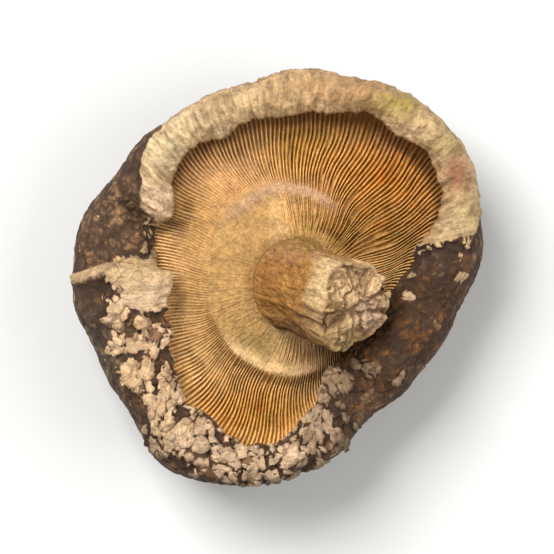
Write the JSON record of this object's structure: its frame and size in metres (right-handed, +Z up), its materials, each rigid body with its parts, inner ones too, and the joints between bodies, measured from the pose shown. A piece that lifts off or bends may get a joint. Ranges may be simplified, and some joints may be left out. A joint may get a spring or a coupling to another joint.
{
  "type": "dried shiitake mushroom",
  "caption": "Whole dried shiitake mushroom: domed cracked cap with a rolled, split rim, radial gills and a short bent stem, lying gills up.",
  "frame": {"origin": "on the crown of the cap, at the middle of the flat spot that the mushroom rests on, under the centre of the gills", "axes": "+Z up, out of the gills; +X towards the side that the stem leans to, which is the right of the picture; +Y towards the top of the picture"},
  "size_m": [0.0507, 0.0511, 0.0237],
  "materials": {
    "cap_skin": "dark brown, dry, wrinkled and cracked skin of the cap",
    "rim_scales": "cream to tan flakes and flesh that show on the rolled rim",
    "gills": "dry orange-brown to tan gills, thin and crinkled",
    "stem": "dry, fibrous tan stem with a pale cut end"
  },
  "bodies": {
    "root": {"mushroom": "cap_skin"}
  },
  "joints": []
}
